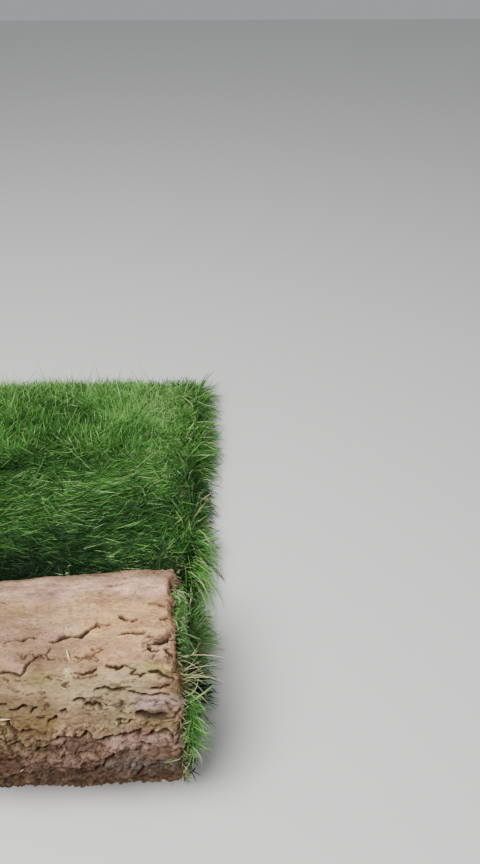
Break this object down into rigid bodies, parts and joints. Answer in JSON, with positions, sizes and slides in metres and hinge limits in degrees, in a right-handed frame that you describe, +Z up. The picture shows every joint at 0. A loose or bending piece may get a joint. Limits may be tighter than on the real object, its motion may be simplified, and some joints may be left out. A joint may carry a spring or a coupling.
{
  "type": "turf roll",
  "caption": "Roll of turf, partly unrolled: a strip of soil and roots wound up with its grass inside, and its end laid open on the floor with the grass up",
  "frame": {"origin": "on the floor under the axis of the roll, at the middle of the strip's width", "axes": "+X along the roll's axis, +Y from the roll towards the open end of the flap, +Z up"},
  "size_m": [0.58, 0.9049, 0.2399],
  "materials": {
    "soil": "dry, crumbly and matt",
    "grass": "living grass blades, bright at the tips and pale at the roots"
  },
  "bodies": {
    "root": {"soil_mat": "soil", "grass": "grass"}
  },
  "joints": []
}
